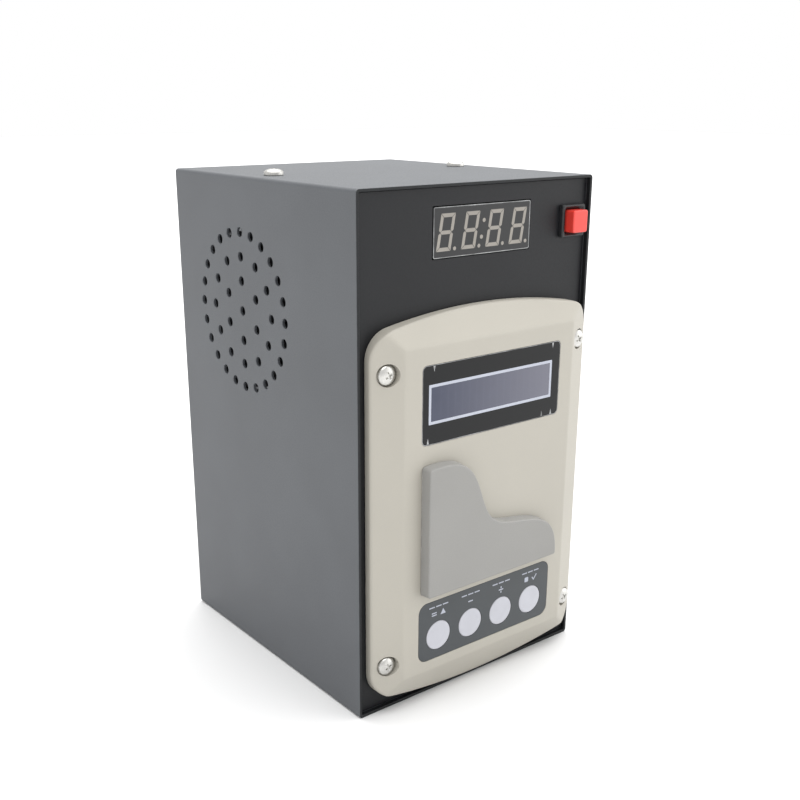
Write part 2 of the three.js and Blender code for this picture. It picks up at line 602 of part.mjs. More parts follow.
{
  const { halfWidth, front, back, bottom, thickness } = BOARD;
  const top = bottom + thickness;
  const base = top + 0.2;
  const board = block(-halfWidth, halfWidth, front, back, bottom, top);
  const holes = MAIN_STUDS.map(([x, y]) => rod('z', STUD.hole, bottom - 1, top + 1, x, y, 8));
  addPiece('main_board', drilledBoard(board, holes), COLORS.board, 0.5);
  addPiece('relay', block(20, 39, -16, -0.5, base, base + 15.3), 0x2c5fa8, 0.45);
  addPiece('capacitor', rod('z', 8, base, base + 25, 4, -12, 24), 0x22252c, 0.4);
  addPiece('processor_chip', block(-18, -4, -34, -20, base, base + 1.6), COLORS.blackPlastic, 0.5);
  addPiece('terminal_block', block(-40, -15, -4, 7, base, base + 12), 0x2f7d46, 0.5);
}

// ---- Transformer -------------------------------------------------------------------------------

{
  const { x, y } = TRANSFORMER;
  const [low, high] = [FLOOR_TOP + GAP, FLOOR_TOP + GAP + 34];
  const window = (middle) => block(middle - 4, middle + 4, y - 20, y + 20, low + 7, high - 7);
  const windows = [window(x - 12), window(x + 12)];
  const core = block(x - 22, x + 22, y - 9, y + 9, low, high).subtract(union(windows));
  const coil = block(x - 15.3, x + 15.3, y - 16.5, y + 16.5, low + 7.4, high - 7.4);
  const bore = block(x - 8.4, x + 8.4, y - 9.4, y + 9.4, low, high);
  addPiece('transformer_core', core, 0x6b6e72, 0.5, 0.7);
  addPiece('transformer_coil', coil.subtract(bore), COLORS.copper, 0.5);
}

// ---- Mains inlet with switch and fuse drawer ---------------------------------------------------

// Pin centres from the socket's middle: two in a row and the earth pin above them.
const PINS = [['inlet_pin_live', -7, -2], ['inlet_pin_neutral', 7, -2], ['inlet_pin_earth', 0, 2]];

function pinBlock([, x, z], clearance, y0, y1) {
  return slab(INLET.x + x, SOCKET.z + z, 2 + clearance, 4 + clearance, y0, y1);
}

function inletHousing() {
  const { x, z, flangeWidth, flangeHeight, width, height, back, face } = INLET;
  const flange = prism(roundedRectangle(x, z, flangeWidth, flangeHeight, 2), face, REAR_FACE + 0.1, 3);
  let body = flange.add(slab(x, z, width, height, back, face - 0.5));
  const outside = face + 1;
  const cuts = [
    slab(x, SOCKET.z, SOCKET.width, SOCKET.height, face - SOCKET.depth, outside),
    slab(x, DRAWER.z, DRAWER.width + 2 * GAP, DRAWER.height + 2 * GAP, DRAWER.back - GAP, outside),
    slab(x, ROCKER.z, 22.4, 2 * ROCKER.halfWidth + 2 * GAP, face - 13, outside),
    ...PINS.map((pin) => pinBlock(pin, 0.5, back - 1, outside)),
  ];
  body = body.subtract(union(cuts));
  return body;
}

// The rocker's section in X and Y about its pivot, before it is tilted to its off position.
function rocker() {
  const { halfLength, halfWidth, tilt } = ROCKER;
  const section = new THREE.Shape();
  const underside = [[-9.6, -0.5], [-2, -5], [2, -5], [9.6, -0.5]];
  const corners = [[-halfLength, 4.2], ...underside, [halfLength, 4.2], [0, 2]];
  corners.forEach(([u, v], i) => (i ? section.lineTo(u, v) : section.moveTo(u, v)));
  const geometry = new THREE.ExtrudeGeometry(section, { depth: 2 * halfWidth, bevelEnabled: false });
  geometry.translate(0, 0, -halfWidth);
  geometry.rotateZ(tilt * Math.PI / 180);
  geometry.translate(INLET.x, INLET.face - 2, ROCKER.z);
  return toSolid(geometry);
}

function fuseDrawer() {
  const { z, width, height, back } = DRAWER;
  const body = slab(INLET.x, z, width, height, back, INLET.face + 0.6);
  const trough = block(INLET.x - 2.9, INLET.x + 2.9, back + 1.6, back + 22.4, z - 2.9, z + height);
  const fingerGrip = block(INLET.x - 5, INLET.x + 5, INLET.face - 1, INLET.face + 2, z + 2.2, z + height);
  return body.subtract(trough).subtract(fingerGrip);
}

addPiece('inlet_housing', inletHousing(), COLORS.blackPlastic, 0.5);
for (const pin of PINS) {
  const pinTip = INLET.face - 3;
  addPiece(pin[0], pinBlock(pin, 0, INLET.back - 4, pinTip), COLORS.zinc, 0.3, 0.9);
}
addPiece('power_rocker', rocker(), 0xa32018, 0.4);
addPiece('fuse_drawer', fuseDrawer(), COLORS.blackPlastic, 0.5);
const fuse = rod('y', 2.5, DRAWER.back + 1.9, DRAWER.back + 21.9, INLET.x, DRAWER.z, 16);
addPiece('fuse', fuse, 0xd8dcdc, 0.2);

// ---- Cable gland and rating plate --------------------------------------------------------------

function hexagon(acrossFlats, y0, y1, bore) {
  const corner = acrossFlats / Math.sqrt(3);
  const hole = rod('y', bore, y0 - 1, y1 + 1, GLAND.x, GLAND.z);
  return rod('y', corner, y0, y1, GLAND.x, GLAND.z, 6).subtract(hole);
}

{
  const { x, z, thread, bore } = GLAND;
  const face = REAR_FACE + 0.1;
  const profile = [
    [bore, -9], [thread, -9], [thread, 0], [11, 0], [11, 5], [10, 5.6], [10, 11], [8.6, 13.6], [bore, 14.6],
    [bore, -9],
  ];
  addPiece('cable_gland', turned(profile, 'y', [x, face, z], 1, 16), COLORS.blackPlastic, 0.5);
  const nut = hexagon(22, REAR_INSIDE - 5, REAR_INSIDE - 0.1, thread + GAP);
  addPiece('gland_nut', nut, COLORS.blackPlastic, 0.5);
  addPiece('rating_plate', slab(-22, 118, 46, 28, REAR_FACE + 0.1, REAR_FACE + 0.6), 0xb9bbbd, 0.4, 0.8);
}

// ---- Ribbon lead from the text display to the control board ------------------------------------

{
  const corners = [[-8, -0.4], [8, -0.4], [8, 0.4], [-8, 0.4]];
  const strip = new THREE.Shape(corners.map(([u, v]) => new THREE.Vector2(u, v)));
  const lcdBack = LCD.back + 2.6;
  const fall = [[-18, -38, 60], [-18, -44, 24], [-18, -43, 12]];
  const ribbon = [[-18, lcdBack, 118], [-18, lcdBack + 8, 112], ...fall];
  addPiece('lcd_ribbon', swept(ribbon, strip, 16), 0x8a8f98, 0.6);
}

export default model;
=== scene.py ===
"""A payment control box: fine pieces, materials, floor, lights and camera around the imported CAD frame."""

import math

import bmesh
import bpy
from mathutils import Matrix, Vector


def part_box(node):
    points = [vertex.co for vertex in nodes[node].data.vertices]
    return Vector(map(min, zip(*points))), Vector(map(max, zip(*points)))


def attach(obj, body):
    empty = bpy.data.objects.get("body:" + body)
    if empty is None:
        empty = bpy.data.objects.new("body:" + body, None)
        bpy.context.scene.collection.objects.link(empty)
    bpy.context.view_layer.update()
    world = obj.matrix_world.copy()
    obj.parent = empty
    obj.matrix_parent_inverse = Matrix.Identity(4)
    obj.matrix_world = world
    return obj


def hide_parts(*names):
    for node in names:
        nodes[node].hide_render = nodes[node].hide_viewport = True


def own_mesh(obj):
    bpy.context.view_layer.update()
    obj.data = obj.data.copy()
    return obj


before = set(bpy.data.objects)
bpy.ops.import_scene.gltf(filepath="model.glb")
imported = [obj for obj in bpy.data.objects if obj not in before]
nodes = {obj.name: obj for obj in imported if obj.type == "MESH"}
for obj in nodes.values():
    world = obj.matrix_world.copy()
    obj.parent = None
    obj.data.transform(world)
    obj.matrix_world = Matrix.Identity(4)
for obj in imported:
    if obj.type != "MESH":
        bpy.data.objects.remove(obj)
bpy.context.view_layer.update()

# Lengths in this script are in millimetres, and meshes are scaled by MM as they are made.
MM = 0.001
ENCLOSURE = "enclosure"


class Box:
    """A CAD node's extent in millimetres."""

    def __init__(self, node):
        low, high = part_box(node)
        self.x0, self.y0, self.z0 = (value / MM for value in low)
        self.x1, self.y1, self.z1 = (value / MM for value in high)
        self.x, self.y, self.z = ((a + b) / 2 for a, b in
                                  ((self.x0, self.x1), (self.y0, self.y1), (self.z0, self.z1)))
        self.width, self.depth, self.height = self.x1 - self.x0, self.y1 - self.y0, self.z1 - self.z0


# ---- Outlines: lists of (x, z), anticlockwise seen from the front ---------------------------------


def arc(x, z, radius, start, end, steps):
    """Points along an arc, angles in degrees, both ends included."""
    angles = [math.radians(start + (end - start) * i / steps) for i in range(steps + 1)]
    return [(x + radius * math.cos(a), z + radius * math.sin(a)) for a in angles]


def rounded_rectangle(x, z, width, height, radius, steps=5):
    left, right = x - width / 2 + radius, x + width / 2 - radius
    low, high = z - height / 2 + radius, z + height / 2 - radius
    return (arc(right, low, radius, -90, 0, steps) + arc(right, high, radius, 0, 90, steps)
            + arc(left, high, radius, 90, 180, steps) + arc(left, low, radius, 180, 270, steps))


def circle(x, z, radius, steps=48):
    return arc(x, z, radius, 0, 360, steps)[:-1]


def inset(outline, distance):
    """The outline drawn in by a distance."""
    moved = []
    for i, (x, z) in enumerate(outline):
        before, after = outline[i - 1], outline[(i + 1) % len(outline)]
        d1 = Vector((x - before[0], z - before[1])).normalized()
        d2 = Vector((after[0] - x, after[1] - z)).normalized()
        n1, n2 = Vector((-d1.y, d1.x)), Vector((-d2.y, d2.x))
        n = (n1 + n2) / max(1 + n1.dot(n2), 0.3)
        moved.append((x + n.x * distance, z + n.y * distance))
    return moved


def round_corners(outline, radius, steps=5):
    """Replaces each sharp corner of an outline with a small curve."""
    result = []
    for i, point in enumerate(outline):
        corner = Vector(point)
        before = Vector(outline[i - 1]) - corner
        after = Vector(outline[(i + 1) % len(outline)]) - corner
        if before.angle(-after) < math.radians(25):
            result.append(point)
            continue
        reach = min(radius, before.length * 0.9, after.length * 0.9)
        start, end = corner + before.normalized() * reach, corner + after.normalized() * reach
        for k in range(steps + 1):
            t = k / steps
            p = start * (1 - t) ** 2 + corner * 2 * t * (1 - t) + end * t ** 2
            result.append((p.x, p.y))
    return result


def bezier(p0, p1, p2, p3, steps=16):
    """Points along a cubic curve, its first point left out."""
    points = []
    for k in range(1, steps + 1):
        t = k / steps
        weights = ((1 - t) ** 3, 3 * t * (1 - t) ** 2, 3 * t * t * (1 - t), t ** 3)
        points.append(tuple(sum(w * p[axis] for w, p in zip(weights, (p0, p1, p2, p3))) for axis in (0, 1)))
    return points


# ---- Meshes --------------------------------------------------------------------------------------


def make_object(name, vertices, faces):
    mesh = bpy.data.meshes.new(name)
    mesh.from_pydata([[c * MM for c in v] for v in vertices], [], faces)
    bm = bmesh.new()
    bm.from_mesh(mesh)
    bmesh.ops.recalc_face_normals(bm, faces=bm.faces)
    bm.to_mesh(mesh)
    bm.free()
    obj = bpy.data.objects.new(name, mesh)
    bpy.context.scene.collection.objects.link(obj)
    return obj


def loft(name, rings, closed=False):
    """A skin over rings of equal count: capped at both ends, or closed on itself."""
    count = len(rings[0])
    vertices = [point for ring in rings for point in ring]
    faces = []
    for r in range(len(rings) if closed else len(rings) - 1):
        first, second = r * count, (r + 1) % len(rings) * count
        for i in range(count):
            j = (i + 1) % count
            faces.append((first + i, first + j, second + j, second + i))
    if not closed:
        faces.append(tuple(range(count)))
        faces.append(tuple(range((len(rings) - 1) * count, len(rings) * count)))
    return make_object(name, vertices, faces)


def at(outline, y):
    return [(x, y, z) for x, z in outline]


def edge_rings(outline, front, edge, steps=4):
    """Rings that round the front edge of a plate over to its face."""
    rings = []
    for k in range(steps + 1):
        angle = math.pi / 2 * k / steps
        rings.append(at(inset(outline, edge * (1 - math.cos(angle))), front + edge * (1 - math.sin(angle))))
    rings.append(at(inset(outline, edge * 1.2 + 0.02), front))
    return rings


def plate(name, outline, front, back, edge=0.3):
    """A plate that faces the front, with its front edge rounded."""
    return loft(name, [at(outline, back)] + edge_rings(outline, front, edge))


def rim(name, outer, inner, front, back):
    """A flat frame between two outlines."""
    return loft(name, [at(outer, back), at(outer, front), at(inner, front), at(inner, back)], closed=True)


def spun(name, stations, origin, axis, sides=64):
    """A turned piece: (radius, height) stations along an axis; a radius may be a function of the angle."""
    axis = Vector(axis)
    across = Vector((0, 0, 1)) if abs(axis.z) < 0.5 else Vector((1, 0, 0))
    other = axis.cross(across)
    rings = []
    for radius, height in stations:
        ring = []
        for i in range(sides):
            angle = 2 * math.pi * i / sides
            r = radius(angle) if callable(radius) else radius
            out = across * math.cos(angle) + other * math.sin(angle)
            ring.append(Vector(origin) + axis * height + out * r)
        rings.append(ring)
    return loft(name, rings)


def cut(obj, cutters):
    """Cuts with other meshes, which are then removed."""
    group = bpy.data.collections.new("cutters")
    bpy.context.scene.collection.children.link(group)
    for cutter in cutters:
        group.objects.link(cutter)
    modifier = obj.modifiers.new("cut", "BOOLEAN")
    modifier.operation = "DIFFERENCE"
    modifier.solver = "EXACT"
    modifier.operand_type = "COLLECTION"
    modifier.collection = group
    evaluated = obj.evaluated_get(bpy.context.evaluated_depsgraph_get())
    mesh = bpy.data.meshes.new_from_object(evaluated)
    obj.modifiers.clear()
    obj.data = mesh
    for cutter in cutters:
        bpy.data.objects.remove(cutter)
    bpy.data.collections.remove(group)
    return obj


def smooth(obj, angle=32, bevel=0.0, segments=2, bevel_angle=50):
    """Smooth shading with sharp edges kept, after a fine rounding of the sharpest ones."""
    if bevel:
        modifier = obj.modifiers.new("edges", "BEVEL")
        modifier.width = bevel * MM
        modifier.segments = segments
        modifier.limit_method = "ANGLE"
        modifier.angle_limit = math.radians(bevel_angle)
        modifier.harden_normals = False
    obj.data.shade_smooth()
    obj.data.set_sharp_from_angle(angle=math.radians(angle))
    weighted = obj.modifiers.new("normals", "WEIGHTED_NORMAL")
    weighted.keep_sharp = True
    return obj


def piece(obj, material, body=ENCLOSURE, slot=None, replaces=(), **shading):
    """Finishes a piece: shading, material, body, and the CAD nodes that it stands for; the slot argument is
    not used.
    """
    smooth(obj, **shading)
    obj.data.materials.clear()
    obj.data.materials.append(material)
    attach(obj, body)
    if replaces:
        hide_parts(*replaces)
    return obj


# ---- Materials -----------------------------------------------------------------------------------


def linear(code):
    """A linear colour from a hexadecimal one."""
    values = [int(code[i:i + 2], 16) / 255 for i in (0, 2, 4)]
    return [v / 12.92 if v <= 0.04045 else ((v + 0.055) / 1.055) ** 2.4 for v in values] + [1.0]


class Tree:
    """A material's nodes, with short ways to add and join them."""

    def __init__(self, name):
        self.material = bpy.data.materials.new(name)
        self.material.use_nodes = True
        self.nodes = self.material.node_tree.nodes
        self.links = self.material.node_tree.links
        self.shader = self.nodes["Principled BSDF"]
        self.place = self.add("ShaderNodeTexCoord").outputs["Object"]

    def add(self, kind, inputs=(), **settings):
        node = self.nodes.new(kind)
        for key, value in settings.items():
            setattr(node, key, value)
        for key, value in dict(inputs).items():
            if isinstance(value, bpy.types.NodeSocket):
                self.links.new(value, node.inputs[key])
            else:
                node.inputs[key].default_value = value
        return node

    def noise(self, size, detail=2.0, stretch=None):
        """Noise whose grains are about a size in millimetres across."""
        place = self.place
        if stretch:
            place = self.add("ShaderNodeMapping", {"Vector": place, "Scale": stretch}).outputs["Vector"]
        node = self.add("ShaderNodeTexNoise", {"Vector": place, "Scale": 1 / (size * MM), "Detail": detail})
        return node.outputs["Fac"]

    def span(self, value, low, high, start=0.3, end=0.7):
        """Maps a value from start..end to low..high."""
        node = self.add("ShaderNodeMapRange", {"Value": value, "From Min": start, "From Max": end,
                                               "To Min": low, "To Max": high})
        return node.outputs["Result"]

    def mix(self, share, first, second):
        """A colour between two colours."""
        node = self.nodes.new("ShaderNodeMix")
        node.data_type = "RGBA"
        for index, value in ((0, share), (6, first), (7, second)):
            if isinstance(value, bpy.types.NodeSocket):
                self.links.new(value, node.inputs[index])
            else:
                node.inputs[index].default_value = value
        return node.outputs[2]

    def math(self, operation, first, second=0.0):
        node = self.nodes.new("ShaderNodeMath")
        node.operation = operation
        for index, value in ((0, first), (1, second)):
            if isinstance(value, bpy.types.NodeSocket):
                self.links.new(value, node.inputs[index])
            else:
                node.inputs[index].default_value = value
        return node.outputs["Value"]

    def edges(self, radius):
        """1 along edges and 0 away from them."""
        bevel = self.add("ShaderNodeBevel", {"Radius": radius * MM}, samples=4)
        true = self.add("ShaderNodeNewGeometry").outputs["Normal"]
        dot = self.nodes.new("ShaderNodeVectorMath")
        dot.operation = "DOT_PRODUCT"
        self.links.new(bevel.outputs["Normal"], dot.inputs[0])
        self.links.new(true, dot.inputs[1])
        return self.span(dot.outputs["Value"], 1.0, 0.0, 0.75, 0.97)

    def bump(self, height, depth, strength=1.0):
        node = self.add("ShaderNodeBump", {"Height": height, "Distance": depth * MM, "Strength": strength})
        self.links.new(node.outputs["Normal"], self.shader.inputs["Normal"])

    def colour(self, value):
        self.links.new(value, self.shader.inputs["Base Color"])

    def rough(self, value):
        self.links.new(value, self.shader.inputs["Roughness"])


def shade(colour, factor):
    return [min(c * factor, 1.0) for c in colour[:3]] + [1.0]


def finish(name, code, roughness, metallic=0.0, spread=0.08, cloud=30.0, grain=0.8, depth=0.02, wear=0.0,
           worn="8f9092", coat=0.0, stretch=None, specular=0.5):
    """A surface with slow colour clouds, grain in its gloss and relief, and optional wear along its edges."""
    tree = Tree(name)
    base = linear(code)
    slow = tree.noise(cloud, 3.0, stretch)
    fine = tree.noise(grain, 2.0, stretch)
    tone = tree.span(slow, 0.0, 1.0)
    colour = tree.mix(tone, shade(base, 1 - spread), shade(base, 1 + spread))
    speckle = tree.span(fine, 0.0, 1.0)
    colour = tree.mix(tree.math("MULTIPLY", speckle, 0.35), colour, shade(base, 1 - 1.5 * spread))
    gloss = tree.span(fine, roughness * 0.88, min(roughness * 1.12, 1.0))
    if wear:
        patchy = tree.span(tree.noise(5.0, 4.0), 0.0, 1.0, 0.42, 0.62)
        mask = tree.math("MULTIPLY", tree.math("MULTIPLY", tree.edges(0.5), patchy), wear)
        colour = tree.mix(mask, colour, linear(worn))
    tree.colour(colour)
    tree.rough(gloss)
    tree.bump(fine, depth)
    tree.shader.inputs["Metallic"].default_value = metallic
    tree.shader.inputs["Specular IOR Level"].default_value = specular
    if coat:
        tree.shader.inputs["Coat Weight"].default_value = coat
        tree.shader.inputs["Coat Roughness"].default_value = 0.08
    return tree.material


def circuit(name, code):
    """A lacquered board with faint copper tracks under the lacquer."""
    tree = Tree(name)
    base = linear(code)
    bricks = tree.add("ShaderNodeTexBrick", {"Vector": tree.place, "Scale": 220.0, "Mortar Size": 0.06})
    cloud = tree.span(tree.noise(12.0, 3.0), 0.0, 1.0)
    ground = tree.mix(cloud, shade(base, 0.85), shade(base, 1.15))
    tracks = tree.math("MULTIPLY", bricks.outputs["Fac"], 0.5)
    tree.colour(tree.mix(tracks, ground, shade(base, 1.9)))
    tree.rough(tree.span(cloud, 0.32, 0.45))
    tree.bump(bricks.outputs["Fac"], 0.03)
    return tree.material


def display_view(name):
    """A text display at rest: a grey field with two faint rows of character cells, darker and bluer at the
    left and lighter at the right as a painted reflection.
    """
    tree = Tree(name)
    split = tree.add("ShaderNodeSeparateXYZ", {"Vector": tree.place})
    lens = Box("lcd_lens")
    # Painted reflection: the field runs from dark blue at the left to light grey at the right.
    across = tree.span(split.outputs["X"], 0.0, 1.0, (lens.x - 32) * MM, (lens.x + 32) * MM)
    field = tree.mix(across, linear("2a3046"), linear("646470"))
    cells = tree.add("ShaderNodeTexBrick", {"Vector": tree.place, "Scale": 1.0, "Mortar Size": 0.0004,
                                            "Brick Width": 0.0037, "Row Height": 0.0062}, offset=0.0)
    field = tree.mix(tree.math("MULTIPLY", cells.outputs["Fac"], 0.015), field, linear("8688a0"))
    mottle = tree.span(tree.noise(7.0, 3.0), 0.0, 1.0)
    tree.colour(tree.mix(tree.math("MULTIPLY", mottle, 0.12), field, linear("4f5468")))
    tree.rough(tree.span(mottle, 0.16, 0.26))
    tree.bump(tree.noise(0.4), 0.004)
    tree.shader.inputs["Coat Weight"].default_value = 0.15
    return tree.material


# The sleeve and the panels have one paint in two copies: a lighter one on the sleeve and a darker one on the
# front, rear and floor panels, as painted light and painted shade.
powder_coat = finish("powder_coat", "4b4e52", 0.5, grain=0.55, depth=0.035, spread=0.07,
                     wear=0.35, worn="96979a", specular=0.62)
panel_coat = finish("panel_coat", "141518", 0.46, grain=0.5, depth=0.02, spread=0.06,
                    wear=0.15, worn="4a4b4d", specular=0.3)
# A darker copy of the sleeve's paint for its front edge and the gap behind it: painted shade.
painted_shade_lip_coat = finish("painted_shade_lip_coat", "16181a", 0.5, grain=0.5, depth=0.02, spread=0.06, wear=0.2, worn="54575a",
                  specular=0.3)
zinc = finish("zinc_steel", "c9c8c4", 0.36, metallic=1.0, grain=0.35, depth=0.008, cloud=3.0, spread=0.1,
              wear=0.5, worn="f0f0ee")
steel = finish("plated_metal", "9b9da0", 0.36, metallic=1.0, grain=0.4, depth=0.01, cloud=8.0,
               stretch=(1.0, 1.0, 0.12))
bezel_plastic = finish("bezel_plastic", "aaa69c", 0.5, grain=0.45, depth=0.012, cloud=45.0, spread=0.025,
                       wear=0.25, worn="ebe7dd")
pad_plastic = finish("pad_plastic", "8d8c89", 0.62, grain=0.5, depth=0.02, spread=0.03, cloud=25.0,
                     wear=0.5, worn="dedbd6")
label_film = finish("label_film", "3b3f42", 0.42, grain=0.3, depth=0.006, spread=0.05, cloud=20.0)
key_plastic = finish("key_plastic", "b7b8bf", 0.42, grain=0.35, depth=0.006, spread=0.03, cloud=6.0)
lens_plastic = finish("lens_plastic", "050608", 0.2, grain=2.0, depth=0.002, spread=0.15, cloud=30.0,
                      specular=0.3)
led_plastic = finish("led_plastic", "131416", 0.38, grain=0.4, depth=0.005, spread=0.06, cloud=10.0)
# A light grey of broken tone: painted highlight along the edges of the lens and of the digit display, and
# also the colour of the printed marks on the lens.
painted_highlight_and_mark_grey = finish("painted_highlight_and_mark_grey", "98999a", 0.3, grain=1.2, depth=0.01, spread=0.6, cloud=9.0)
led_segment = finish("led_segment", "8d8881", 0.5, grain=0.5, depth=0.004, spread=0.05, cloud=3.0)
black_plastic = finish("black_plastic", "1c1d1f", 0.42, grain=0.4, depth=0.01, spread=0.1, cloud=12.0,
                       wear=0.25, worn="4c4e52")
red_plastic = finish("red_plastic", "dc3c32", 0.34, grain=0.6, depth=0.004, spread=0.06, cloud=4.0, coat=0.2)
white_print = finish("white_print", "aeb2be", 0.5, grain=0.3, depth=0.002, spread=0.05, cloud=6.0)
board_green = circuit("board_green", "1f6b3a")
terminal_green = finish("terminal_green", "2f7d46", 0.45, spread=0.1, cloud=8.0)
relay_blue = finish("relay_blue", "2c5fa8", 0.4, spread=0.08, cloud=8.0)
paper = finish("cone_paper", "26262a", 0.9, grain=0.7, depth=0.05, spread=0.15, cloud=6.0)
foam = finish("gasket_foam", "2b2b2d", 0.95, grain=0.6, depth=0.08, spread=0.15, cloud=4.0)
ferrite = finish("magnet_ferrite", "3a3a3c", 0.6, grain=0.6, depth=0.03, spread=0.12, cloud=8.0)
copper = finish("copper_wire", "b46a3c", 0.35, metallic=0.8, grain=0.5, depth=0.05, spread=0.12, cloud=4.0,
                stretch=(1.0, 1.0, 6.0))
glass = finish("fuse_glass", "d8dcdc", 0.1, grain=2.0, depth=0.001, spread=0.04, cloud=5.0)
ribbon = finish("ribbon_jacket", "8a8f98", 0.5, grain=0.6, depth=0.04, spread=0.08, cloud=5.0,
                stretch=(8.0, 1.0, 1.0))
lcd_field_painted_reflection = display_view("lcd_field_painted_reflection")

# ---- CAD nodes that stay, with better materials and softer edges ---------------------------------

KEPT = {  # material: nodes, width of the softened edge
    panel_coat: (["front_panel", "floor_tray", "rear_panel"], 0.15),
    zinc: (["tie_rail_left", "tie_rail_right",
            "inlet_pin_live", "inlet_pin_neutral", "inlet_pin_earth"], 0.2),
    steel: (["lcd_frame", "speaker_basket", "transformer_core"], 0.15),
    black_plastic: (["inlet_housing", "fuse_drawer", "gland_nut", "processor_chip", "capacitor",
                     "tact_switch_1", "tact_switch_2", "tact_switch_3", "tact_switch_4"], 0.3),
    red_plastic: (["power_rocker"], 0.5),
    board_green: (["lcd_board", "key_board", "antenna_board", "led_board", "main_board"], 0.0),
    terminal_green: (["terminal_block"], 0.3),
    relay_blue: (["relay"], 0.4),
    paper: (["speaker_cone"], 0.0),
    foam: (["speaker_gasket"], 0.0),
    ferrite: (["speaker_magnet"], 0.3),
    copper: (["transformer_coil"], 0.8),
    glass: (["fuse"], 0.2),
    ribbon: (["lcd_ribbon"], 0.0),
    lcd_field_painted_reflection: (["lcd_glass"], 0.1),
}


def keep(name, material, bevel):
    """A CAD node that is shown as it is, with its corners joined and slightly rounded."""
    obj = nodes[name]
    for material_slot in obj.material_slots:
        material_slot.material = material
    weld = obj.modifiers.new("join", "WELD")
    weld.merge_threshold = 1e-6
    if bevel:
        edges = obj.modifiers.new("edges", "BEVEL")
        edges.width = bevel * MM
        edges.segments = 2
        edges.limit_method = "ANGLE"
        edges.angle_limit = math.radians(50)
    weighted = obj.modifiers.new("normals", "WEIGHTED_NORMAL")
    weighted.weight = 80


for kept_material, (names, kept_bevel) in KEPT.items():
    for kept_name in names:
        keep(kept_name, kept_material, kept_bevel)

# ---- Sleeve --------------------------------------------------------------------------------------

sleeve = Box("outer_sleeve")
SHEET = 1.2
BEND = 1.5  # radius of the sleeve's outer corners
TIGHTEST = 0.35  # least radius inside a bend
M4_CLEARANCE = 2.3
speaker = Box("speaker_gasket")
HOLE = 2.0
HOLE_RINGS = ((6, 12.5, 30), (12, 22.5, 0), (24, 32.5, 0))  # count, radius, first angle


def sleeve_ring(depth, y):
    """A loop of the sleeve's sheet, a depth below its outer face."""
    radius = max(BEND - depth, TIGHTEST)
    return at(rounded_rectangle(sleeve.x, sleeve.z, sleeve.width - 2 * depth, sleeve.height - 2 * depth,
                                radius, 8), y)


def make_sleeve():
    edge = 0.3
    front, back = sleeve.y0, sleeve.y1
    section = []
    for k in range(5):
        angle = math.pi / 2 * k / 4
        section.append((edge * (1 - math.cos(angle)), edge * (1 - math.sin(angle))))
    outside = [(depth, front + rise) for depth, rise in section]
    inside = [(SHEET - depth, front + rise) for depth, rise in reversed(section)]
    far_inside = [(SHEET - depth, back - rise) for depth, rise in section]
    far_outside = [(depth, back - rise) for depth, rise in reversed(section)]
    rings = [sleeve_ring(*place) for place in outside + inside + far_inside + far_outside]
    obj = loft("sleeve", rings, closed=True)
    centres = [(speaker.y, speaker.z)]
    for count, radius, first in HOLE_RINGS:
        for i in range(count):
            angle = math.radians(first + 360 * i / count)
            centres.append((speaker.y + radius * math.cos(angle), speaker.z + radius * math.sin(angle)))
    stations = ((HOLE + 0.9, -0.6), (HOLE + 0.18, 0.0), (HOLE, 0.2), (HOLE, SHEET + 0.5))
    cutters = [spun("hole", stations, (sleeve.x0, y, z), (1, 0, 0), 28) for y, z in centres]
    for name in ("top_screw_left", "top_screw_right"):
        screw = Box(name)
        stations = ((M4_CLEARANCE, -3.0), (M4_CLEARANCE, 1.0))
        cutters.append(spun("hole", stations, (screw.x, screw.y, sleeve.z1), (0, 0, 1), 28))
    cut(obj, cutters)
    piece(obj, powder_coat, slot="powder_coat", replaces=["outer_sleeve"], angle=35)
    margin, proud, reach = 0.14, 0.02, 1.9  # the sheet's front edge and a strip inside it, dark as painted shade: the shade on the front-facing edge and the shadow in the gap, ending just short of the panel
    film = SHEET + 2 * proud
    lip = [(margin, 0.2), (margin, -proud), (SHEET - margin, -proud)]
    lip += [(film, 0.16), (film, reach), (SHEET - 0.1, reach)]
    obj = loft("sleeve_painted_shade_lip", [sleeve_ring(depth, front + rise) for depth, rise in lip], closed=True)
    piece(obj, painted_shade_lip_coat, slot="powder_coat", angle=35)


make_sleeve()

# ---- Screws --------------------------------------------------------------------------------------


def pan_screw(name, axis):
    """A pan head with a worn cross recess, its shank behind it."""
    box = Box(name)
    axis = Vector(axis)
    along = [abs(c) for c in axis].index(1)
    low, high = (box.x0, box.y0, box.z0), (box.x1, box.y1, box.z1)
    radius = max(high[i] - low[i] for i in range(3) if i != along) / 2
    middle = [box.x, box.y, box.z]
    tip = high[along] if sum(axis) > 0 else low[along]
    middle[along] = tip
    height, shank = radius * 0.65, radius * 0.5
    length = high[along] - low[along]
    stations = [(0.05, -length), (shank * 0.8, -length), (shank, -length + 0.5), (shank, -height)]
    dome = height * 0.62
    stations += [(radius - 0.15, -height), (radius, -height + 0.15), (radius, -dome)]
    stations += [(radius * math.cos(a), -dome + dome * math.sin(a))
                 for a in (math.radians(d) for d in (15, 30, 45, 60, 75, 86))]
    obj = spun(name + "_fine", stations, middle, axis, 40)
    across = Vector((0, 0, 1)) if abs(axis.z) < 0.5 else Vector((1, 0, 0))
    turn = Matrix.Rotation(math.radians(27), 3, axis)
    arms = []
    corners = ((-1, -1), (1, -1), (1, 1), (-1, 1))
    for direction in (turn @ across, turn @ axis.cross(across)):
        side = axis.cross(direction)
        rings = []
        for level, length, half in ((-height * 0.26, 0.3, 0.1), (0.3, 0.56, 0.13)):
            centre = Vector(middle) + axis * level
            rings.append([centre + direction * u * radius * length + side * v * radius * half
                          for u, v in corners])
        arms.append(loft("arm", rings))
    cut(obj, arms)
    piece(obj, zinc, slot="zinc_steel", replaces=[name], angle=40)


